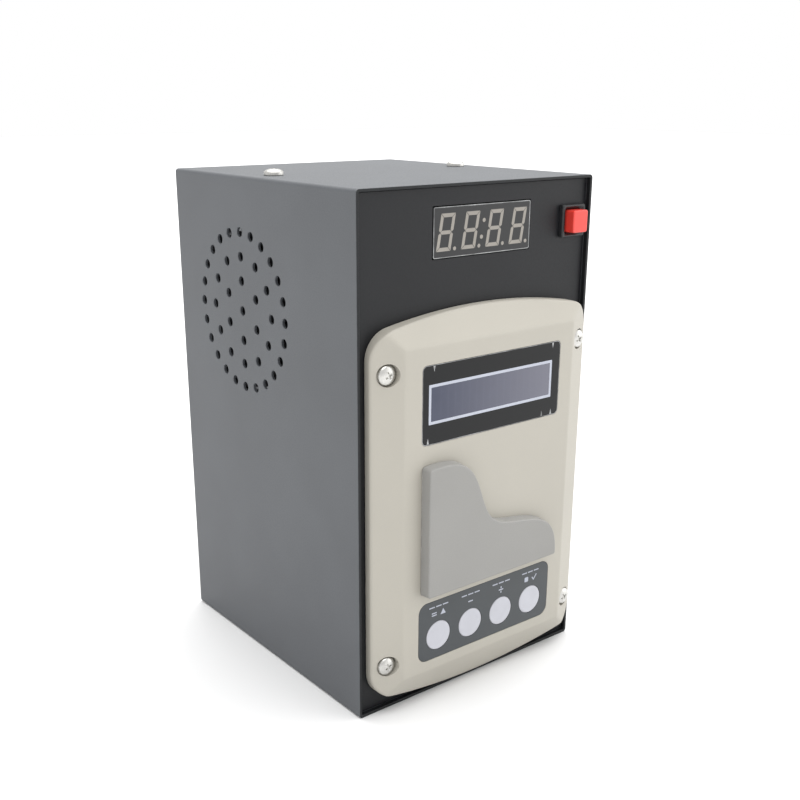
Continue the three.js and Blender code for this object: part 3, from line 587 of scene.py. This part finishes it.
for screw_name in ("top_screw_left", "top_screw_right"):
    pan_screw(screw_name, (0, 0, 1))
for index in range(1, 5):
    pan_screw(f"bezel_screw_{index}", (0, -1, 0))
    pan_screw(f"rear_screw_{index}", (0, 1, 0))

# ---- Bezel ---------------------------------------------------------------------------------------

bezel = Box("front_bezel")
FLAT_SIDE = 12.35  # width of the sloping border at the sides, the top and the bottom
FLAT_TOP = 11.9
FLAT_BOTTOM = 13.1
SLOPE = 0.414  # fall of the border for each millimetre outwards
TOP_ARC = 265
BOTTOM_ARC = 215
CORNER = 12
SIDE_STEPS, CROWN_STEPS, CORNER_STEPS = 24, 40, 10
BLEND_STEPS = 28
WELL = 4.4  # radius of a screw well, and how far its seat lies behind the face
KEY_HOLE = 7.7


def bezel_outline(distance=0.0):
    """The bezel's outline, drawn in by a distance: corners tangent to the sides and to both arcs."""
    corner = CORNER - distance
    top_arc, bottom_arc = TOP_ARC - distance, BOTTOM_ARC - distance
    reach = bezel.width / 2 - CORNER
    top_centre, bottom_centre = bezel.z1 - TOP_ARC, bezel.z0 + BOTTOM_ARC
    top_rise = math.sqrt((TOP_ARC - CORNER) ** 2 - reach ** 2)
    bottom_rise = math.sqrt((BOTTOM_ARC - CORNER) ** 2 - reach ** 2)
    high, low = top_centre + top_rise, bottom_centre - bottom_rise
    top_angle = math.degrees(math.atan2(top_rise, reach))
    bottom_angle = math.degrees(math.atan2(bottom_rise, reach))
    left, right = bezel.x - reach, bezel.x + reach
    side = [low + (high - low) * i / SIDE_STEPS for i in range(1, SIDE_STEPS)]
    points = arc(right, low, corner, -bottom_angle, 0, CORNER_STEPS)
    points += [(right + corner, z) for z in side]
    points += arc(right, high, corner, 0, top_angle, CORNER_STEPS)
    points += arc(bezel.x, top_centre, top_arc, top_angle, 180 - top_angle, CROWN_STEPS)[1:-1]
    points += arc(left, high, corner, 180 - top_angle, 180, CORNER_STEPS)
    points += [(left - corner, z) for z in reversed(side)]
    points += arc(left, low, corner, 180, 180 + bottom_angle, CORNER_STEPS)
    points += arc(bezel.x, bottom_centre, bottom_arc, 180 + bottom_angle, 360 - bottom_angle,
                  CROWN_STEPS)[1:-1]
    return points


def flat_outline(margin):
    """A rounded rectangle inside the flat face, with the same count of points as the outline."""
    left, right = bezel.x0 + FLAT_SIDE + margin, bezel.x1 - FLAT_SIDE - margin
    low, high = bezel.z0 + FLAT_BOTTOM + margin, bezel.z1 - FLAT_TOP - margin
    radius = 2.0
    side = [low + radius + (high - low - 2 * radius) * i / SIDE_STEPS for i in range(1, SIDE_STEPS)]
    across = [left + radius + (right - left - 2 * radius) * i / CROWN_STEPS for i in range(1, CROWN_STEPS)]
    points = arc(right - radius, low + radius, radius, -90, 0, CORNER_STEPS)
    points += [(right, z) for z in side]
    points += arc(right - radius, high - radius, radius, 0, 90, CORNER_STEPS)
    points += [(x, high) for x in reversed(across)]
    points += arc(left + radius, high - radius, radius, 90, 180, CORNER_STEPS)
    points += [(left, z) for z in reversed(side)]
    points += arc(left + radius, low + radius, radius, 180, 270, CORNER_STEPS)
    points += [(x, low) for x in across]
    return points


def soft_step(value, width):
    """0 below -width, the value itself above width, and a smooth curve between."""
    if value <= -width:
        return 0.0
    if value >= width:
        return value
    return (value + width) ** 2 / (4 * width)


def bezel_face(x, z):
    """Y of the bezel's front at a place: flat, with four slopes that meet in soft creases."""
    beside = max(bezel.x0 + FLAT_SIDE - x, x - bezel.x1 + FLAT_SIDE)
    beyond = max(bezel.z0 + FLAT_BOTTOM - z, z - bezel.z1 + FLAT_TOP)
    furthest = beyond + soft_step(beside - beyond, 0.9)
    return bezel.y0 + SLOPE * soft_step(furthest, 0.7)


def make_bezel():
    edge = 1.0
    rings = [at(bezel_outline(0.0), bezel.y1)]
    for k in range(6):
        angle = math.pi / 2 * k / 5
        outline = bezel_outline(edge * (1 - math.cos(angle)))
        rings.append([(x, bezel_face(x, z) + edge * (1 - math.sin(angle)), z) for x, z in outline])
    outer, inner = bezel_outline(edge), flat_outline(2.0)
    for k in range(1, BLEND_STEPS + 1):
        t = k / BLEND_STEPS
        ring = [(a[0] + (b[0] - a[0]) * t, a[1] + (b[1] - a[1]) * t) for a, b in zip(outer, inner)]
        rings.append([(x, bezel_face(x, z), z) for x, z in ring])
    obj = loft("bezel", rings)
    face = bezel.y0
    lens, label = Box("lcd_lens"), Box("key_label")
    cutters = [
        plate("pocket", rounded_rectangle(lens.x, lens.z, lens.width + 0.35, lens.height + 0.35, 2.2, 8),
              face - 1, face + 1.4, 0.0),
        plate("pocket", rounded_rectangle(label.x, label.z, label.width + 0.3, label.height + 0.3, 4.4, 8),
              face - 1, face + 0.6, 0.0),
    ]
    for number in range(1, 5):
        key = Box(f"key_{number}")
        stations = ((KEY_HOLE, -2.0), (KEY_HOLE, 4.0))
        cutters.append(spun("hole", stations, (key.x, face, key.z), (0, 1, 0), 48))
        screw = Box(f"bezel_screw_{number}")
        seat = face + WELL
        stations = ((WELL, -8.0), (WELL, seat - face))
        cutters.append(spun("well", stations, (screw.x, face, screw.z), (0, 1, 0), 48))
        stations = ((M4_CLEARANCE, -1.0), (M4_CLEARANCE, 9.0))
        cutters.append(spun("hole", stations, (screw.x, seat, screw.z), (0, 1, 0), 32))
    cut(obj, cutters)
    piece(obj, bezel_plastic, slot="bezel_plastic", replaces=["front_bezel"], angle=30, bevel=0.3,
          bevel_angle=40, segments=3)


make_bezel()

# ---- Text display --------------------------------------------------------------------------------


def make_text_display():
    lens = Box("lcd_lens")
    face = lens.y0
    outline = rounded_rectangle(lens.x, lens.z, lens.width, lens.height, 2.0, 8)
    piece(plate("lens", outline, face, lens.y1, 0.25), lens_plastic, slot="lens_plastic",
          replaces=["lcd_lens"])
    x, z, width, height, line = lens.x - 0.7, lens.z + 0.2, 66.4, 15.8, 1.15
    proud = 0.04
    outer = rounded_rectangle(x, z, width, height, 0.25, 2)
    inner = rounded_rectangle(x, z, width - 2 * line, height - 2 * line, 0.15, 2)
    piece(rim("lens_frame_print", outer, inner, face - proud, face + 0.1), white_print, slot="lens_plastic")
    view = rounded_rectangle(x, z, width - 2 * line - 0.1, height - 2 * line - 0.1, 0.15, 2)
    piece(plate("lens_view", view, face - proud / 2, face + 0.1, 0.01), lcd_field_painted_reflection, slot="display_glass")
    # A thin light rim round the lens: painted highlight along its edge.
    piece(rim("lens_edge_highlight", inset(outline, 0.03), inset(outline, 0.2), face - 0.02, face + 0.2), painted_highlight_and_mark_grey,
          slot="lens_plastic")
    marks = [(-31.4, 1), (32.6, 1), (-34.2, -1), (27.6, -1), (33.0, -1)]  # offset, up or down
    half = 0.5
    for order, (u, level) in enumerate(marks):
        tip, foot = lens.z + level * (lens.height / 2 - 2.7), lens.z + level * (lens.height / 2 - 0.4)
        middle = lens.x + u
        mark = [(middle - half * level, foot), (middle, tip), (middle + half * level, foot)]
        piece(plate(f"lens_mark_{order}", mark, face - proud, face + 0.1, 0.01), painted_highlight_and_mark_grey,
              slot="lens_plastic")


make_text_display()

# ---- Key label and keys --------------------------------------------------------------------------


def bar(x, z, width, height):
    return rounded_rectangle(x, z, width, height, min(width, height) * 0.3, 2)


def make_keys():
    label = Box("key_label")
    face = label.y0
    outline = rounded_rectangle(label.x, label.z, label.width, label.height, 4.3, 10)
    obj = plate("label", outline, face, label.y1, 0.12)
    keys = [Box(f"key_{number}") for number in range(1, 5)]
    radius, flange, stem = 6.3, 7.2, 1.6
    hole = ((radius + 0.2, -1.0), (radius + 0.2, 2.0))
    cut(obj, [spun("hole", hole, (key.x, face, key.z), (0, 1, 0), 64) for key in keys])
    piece(obj, label_film, slot="label_film", replaces=["key_label"], angle=30)
    for number, key in enumerate(keys, 1):
        depth = key.y1 - key.y0
        stations = [(0.05, depth), (stem, depth), (stem, 1.6), (flange, 1.6), (flange, 0.8), (radius, 0.8)]
        stations += [(radius, 0.22), (radius - 0.06, 0.12), (radius - 0.25, 0.03), (radius - 0.8, 0.0)]
        stations += [(0.05, 0.0)]
        obj = spun(f"key_cap_{number}", stations, (key.x, key.y0, key.z), (0, 1, 0), 72)
        piece(obj, key_plastic, body=f"key_{number}", slot="key_plastic",
              replaces=[f"key_{number}"], angle=25)
    high = keys[0].z + 9.6  # height of the signs
    signs = {
        1: [bar(keys[0].x - 2.4, high, 2.6, 0.5), bar(keys[0].x - 2.4, high + 1.0, 2.6, 0.5),
            [(keys[0].x + 1.0, high - 0.5), (keys[0].x + 3.8, high - 0.5), (keys[0].x + 2.4, high + 1.9)]],
        2: [bar(keys[1].x, high + 0.4, 2.6, 0.55)],
        3: [bar(keys[2].x, high + 0.4, 2.6, 0.55), bar(keys[2].x, high + 1.45, 0.55, 1.0),
            bar(keys[2].x, high - 0.65, 0.55, 1.0)],
        4: [rounded_rectangle(keys[3].x - 2.3, high + 0.5, 2.2, 2.2, 0.4, 3),
            [(keys[3].x + 0.9, high + 0.6), (keys[3].x + 1.4, high + 0.9), (keys[3].x + 2.0, high - 0.1),
             (keys[3].x + 3.6, high + 1.9), (keys[3].x + 4.0, high + 1.6), (keys[3].x + 2.1, high - 0.9)]],
    }
    for number, outlines in signs.items():
        x = keys[number - 1].x
        words = [bar(x + u, high + 3.7, 2.9, 0.5) for u in (-3.6, 0, 3.6)]
        for order, sign in enumerate(outlines + words):
            piece(plate(f"label_print_{number}_{order}", sign, face - 0.03, face + 0.1, 0.005), white_print,
                  slot="label_film")


make_keys()

# ---- Card pad ------------------------------------------------------------------------------------


def make_pad():
    pad = Box("card_pad")

    def place(u, v):
        return (pad.x0 + u, pad.z0 + v)

    corner, shoulder, foot = place(0, 54.8), place(44.5, 23), place(72.95, 0)
    points = [place(0, 0), foot]
    points += bezier(foot, place(73.3, 19.2), place(63.5, 20.2), shoulder)
    points += bezier(shoulder, place(32.3, 24.8), place(31.1, 31.2), place(26.9, 42.1))
    points += bezier(place(26.9, 42.1), place(22.1, 54.6), place(14.8, 56.3), corner)
    outline = round_corners(points, 1.8)
    draft = 0.35
    face_outline = inset(outline, draft)
    rings = [at(outline, pad.y1)] + edge_rings(face_outline, pad.y0, 0.55, 4)
    piece(loft("pad", rings), pad_plastic, slot="pad_plastic", replaces=["card_pad"], angle=30)


make_pad()

# ---- Four-digit display --------------------------------------------------------------------------


def make_digits():
    led = Box("led_display")
    face = led.y0
    outline = rounded_rectangle(led.x, led.z, led.width, led.height, 0.7, 4)
    body = loft("digit_display", [at(outline, led.y1)] + edge_rings(outline, face, 0.35))
    piece(body, led_plastic, slot="led_plastic", replaces=["led_display"], angle=30)
    # A thin light rim round the display's face: painted highlight along its edge.
    edge = rim("display_edge_highlight", inset(outline, 0.06), inset(outline, 0.36), face - 0.04, face + 0.15)
    piece(edge, painted_highlight_and_mark_grey, slot="led_plastic")
    slant, thick, gap = 0.175, 1.42, 0.13
    width, height = 7.15, 14.0
    half = thick / 2

    def lay(points, x):
        return [(x + u + slant * v, led.z + v) for u, v in points]

    def bar_between(v):
        end = edge_u - gap
        return [(-end, v), (half - end, v - half), (end - half, v - half), (end, v), (end - half, v + half),
                (half - end, v + half)]

    def cap(side):
        outer, inner = side * height / 2, side * (height / 2 - thick)
        end = width / 2 - gap
        return [(-end, outer), (end, outer), (end - thick, inner), (thick - end, inner)]

    def upright(side, level):
        outer, inner = side * width / 2, side * (width / 2 - thick)
        top = level * (height / 2 - gap)
        return [(outer, top), (inner, level * (height / 2 - thick - gap)), (inner, level * (half + gap)),
                (side * edge_u, level * gap), (outer, level * (half + gap))]

    edge_u = width / 2 - half
    segments = [cap(-1), bar_between(0), cap(1)]
    segments += [upright(side, level) for side in (-1, 1) for level in (-1, 1)]
    pitch = 12.5

    def light(name, outline):
        piece(plate(name, outline, face - 0.03, face + 0.1, 0.01), led_segment, slot="led_plastic")

    for digit in range(4):
        middle = led.x - 0.25 + (digit - 1.5) * pitch
        for order, segment in enumerate(segments):
            light(f"digit_{digit}_{order}", lay(segment, middle))
        light(f"digit_{digit}_dot", circle(middle + 4.45, led.z - 6.3, 0.75, 20))
    for name, u, v in (("high", 0.35, 3.3), ("low", -0.85, -2.95)):
        light(f"colon_{name}", circle(led.x + u, led.z + v, 0.8, 20))


make_digits()

# ---- Red button ----------------------------------------------------------------------------------


def make_button():
    housing, cap, spring = Box("button_housing"), Box("button_cap"), Box("button_spring")
    x, z, face = housing.x, housing.z, housing.y0
    size, body, mouth_x, mouth_z = housing.width, 11.6, cap.width + 0.6, cap.height + 0.6
    panel = Box("front_panel")

    def square(width, height, radius):
        return rounded_rectangle(x, z, width, height, radius, 5)

    rings = [at(square(body, body, 0.5), housing.y1), at(square(body, body, 0.5), panel.y0 - 0.1)]
    rings += [at(square(size, size, 0.9), panel.y0 - 0.1), at(square(size, size, 0.9), face + 0.7)]
    rings += [at(square(size - 0.3, size - 0.3, 0.9), face + 0.3)]
    rings += [at(square(size - 0.9, size - 0.9, 0.9), face)]
    rings += [at(square(mouth_x + 2.0, mouth_z + 2.0, 0.8), face)]
    rings += [at(square(mouth_x, mouth_z, 0.6), y) for y in (face + 0.9, spring.y1 + 0.6)]
    piece(loft("button_frame", rings), black_plastic, slot="black_plastic",
          replaces=["button_housing"], angle=25)
    outline = rounded_rectangle(cap.x, cap.z, cap.width, cap.height, 1.0, 6)
    body_obj = loft("button_top", [at(inset(outline, 0.2), cap.y1), at(outline, cap.y1 - 0.4)]
                    + edge_rings(outline, cap.y0, 0.55, 5))
    piece(body_obj, red_plastic, body="button_cap", slot="red_plastic", replaces=["button_cap"], angle=30)
    turns, steps, wire, sides, travel = 3, 36, 0.25, 10, 2.5
    radius = spring.width / 2 - wire
    start, end = spring.y0 + wire, spring.y1 - wire
    rings = []
    for i in range(turns * steps + 1):
        angle = 2 * math.pi * i / steps
        along = Vector((-math.sin(angle), 0.1, math.cos(angle))).normalized()
        out = Vector((math.cos(angle), 0, math.sin(angle)))
        up = along.cross(out)
        centre = Vector((spring.x, start + (end - start) * i / (turns * steps), spring.z)) + out * radius
        rings.append([centre + (out * math.cos(a) + up * math.sin(a)) * wire
                      for a in (2 * math.pi * k / sides for k in range(sides))])
    coil = piece(loft("button_coil", rings), zinc, slot="zinc_steel", replaces=["button_spring"])
    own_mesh(coil)


make_button()

# ---- Cable gland and rating plate ----------------------------------------------------------------


def make_back():
    gland = Box("cable_gland")
    rear = Box("rear_panel")
    face = rear.y1 + 0.1
    bore, thread, sides = 3.6, 9.0, 108

    def hexagon(angle):
        return 9.6 / math.cos((angle + math.pi / 6) % (math.pi / 3) - math.pi / 6)

    def ribs(angle):
        return 10.0 + 0.3 * abs(math.sin(angle * 9))

    stations = [(bore, -9.0), (thread - 0.6, -9.0)]
    for turn in range(9):
        stations += [(thread - 0.5, -8.6 + turn), (thread, -8.2 + turn)]
    stations += [(thread, 0.0), (10.9, 0.0), (hexagon, 0.4), (hexagon, 4.6), (9.4, 5.1), (9.4, 5.6)]
    stations += [(ribs, 6.0), (ribs, 10.8), (9.6, 11.6), (8.9, 13.0), (7.6, 14.2), (5.6, 14.6)]
    stations += [(bore, 14.6), (bore, 13.9)]
    obj = spun("gland", stations, (gland.x, face, gland.z), (0, 1, 0), sides)
    open_ends(obj, len(stations), sides)
    piece(obj, black_plastic, slot="black_plastic", replaces=["cable_gland"], angle=30)
    box = Box("rating_plate")
    outline = [(-x, z) for x, z in rounded_rectangle(-box.x, box.z, box.width, box.height, 2.0, 6)]
    rings = [at(outline, box.y0), at(outline, box.y1 - 0.1), at(shrink(outline, box, 0.1), box.y1)]
    piece(loft("plate_body", rings), steel, slot="plated_metal", replaces=["rating_plate"])
    length, thin = 38, 0.35
    lines = [(0, 9.6, length, 0.5)] + [(0, v, length, thin) for v in (5.4, 1.2, -3.0, -7.2)]
    lines += [(-7, -1.0, thin, 13.0)]
    for order, (u, v, width, height) in enumerate(lines):
        stroke = bar(box.x + u, box.z + v, width, height)
        rings = [at(stroke, box.y1 - 0.1), at(stroke, box.y1 + 0.02)]
        piece(loft(f"plate_line_{order}", rings), black_plastic, slot="plated_metal")


def shrink(outline, box, distance):
    """An outline drawn in towards its box's middle."""
    across, up = 1 - 2 * distance / box.width, 1 - 2 * distance / box.height
    return [(box.x + (x - box.x) * across, box.z + (z - box.z) * up) for x, z in outline]


def open_ends(obj, ring_count, sides):
    """Joins a turned piece's last ring to its first, in place of the two caps: its bore."""
    bm = bmesh.new()
    bm.from_mesh(obj.data)
    bm.faces.ensure_lookup_table()
    bmesh.ops.delete(bm, geom=[f for f in bm.faces if len(f.verts) == sides], context="FACES_ONLY")
    bm.verts.ensure_lookup_table()
    last = (ring_count - 1) * sides
    for i in range(sides):
        j = (i + 1) % sides
        bm.faces.new([bm.verts[last + i], bm.verts[last + j], bm.verts[j], bm.verts[i]])
    bmesh.ops.recalc_face_normals(bm, faces=bm.faces)
    bm.to_mesh(obj.data)
    bm.free()


make_back()

# ---- Floor, lights and camera --------------------------------------------------------------------


def make_floor():
    half = 6000
    corners = [(-half, -half, 0), (half, -half, 0), (half, half, 0), (-half, half, 0)]
    obj = make_object("floor", corners, [(0, 1, 2, 3)])
    tree = Tree("floor_paper")
    tree.colour(tree.mix(tree.noise(150.0), linear("d6d6d6"), linear("dadada")))
    tree.shader.inputs["Roughness"].default_value = 0.8
    tree.shader.inputs["Specular IOR Level"].default_value = 0.1
    obj.data.materials.append(tree.material)


def soft_sun(name, place, strength, spread):
    """An even light from far off in the direction of a place, as soft as its spread in degrees."""
    data = bpy.data.lights.new(name, "SUN")
    data.energy = strength
    data.angle = math.radians(spread)
    obj = bpy.data.objects.new(name, data)
    bpy.context.scene.collection.objects.link(obj)
    obj.location = Vector(place) * MM
    obj.rotation_euler = (-Vector(place)).to_track_quat("-Z", "Y").to_euler()


def make_camera():
    """The photograph's view: bearing and height about a point inside the box."""
    bearing, height, roll = math.radians(-38.22), math.radians(18.22), math.radians(0.15)
    target, distance = Vector((8.06, 0, 87.6)), 488.8
    level = math.cos(height)
    back = Vector((math.sin(bearing) * level, -math.cos(bearing) * level, math.sin(height)))
    data = bpy.data.cameras.new("camera")
    data.lens, data.sensor_width = 47.25, 36.0
    data.shift_x, data.shift_y = 0.0105, 0.0516
    data.clip_start = 0.01
    obj = bpy.data.objects.new("camera", data)
    bpy.context.scene.collection.objects.link(obj)
    obj.location = (target + back * distance) * MM
    facing = (-back).to_track_quat("-Z", "Y").to_matrix()
    obj.rotation_euler = (facing @ Matrix.Rotation(roll, 3, "Z")).to_euler()
    bpy.context.scene.camera = obj


def make_studio():
    make_floor()
    soft_sun("top", (120, 120, 900), 3.8, 70)
    soft_sun("front_right", (900, -500, 200), 1.0, 60)
    world = bpy.data.worlds.new("studio")
    world.use_nodes = True
    background = world.node_tree.nodes["Background"]
    background.inputs["Color"].default_value = (1.0, 1.0, 1.0, 1.0)
    background.inputs["Strength"].default_value = 1.0
    bpy.context.scene.world = world
    bpy.context.scene.view_settings.view_transform = "Standard"
    make_camera()


make_studio()
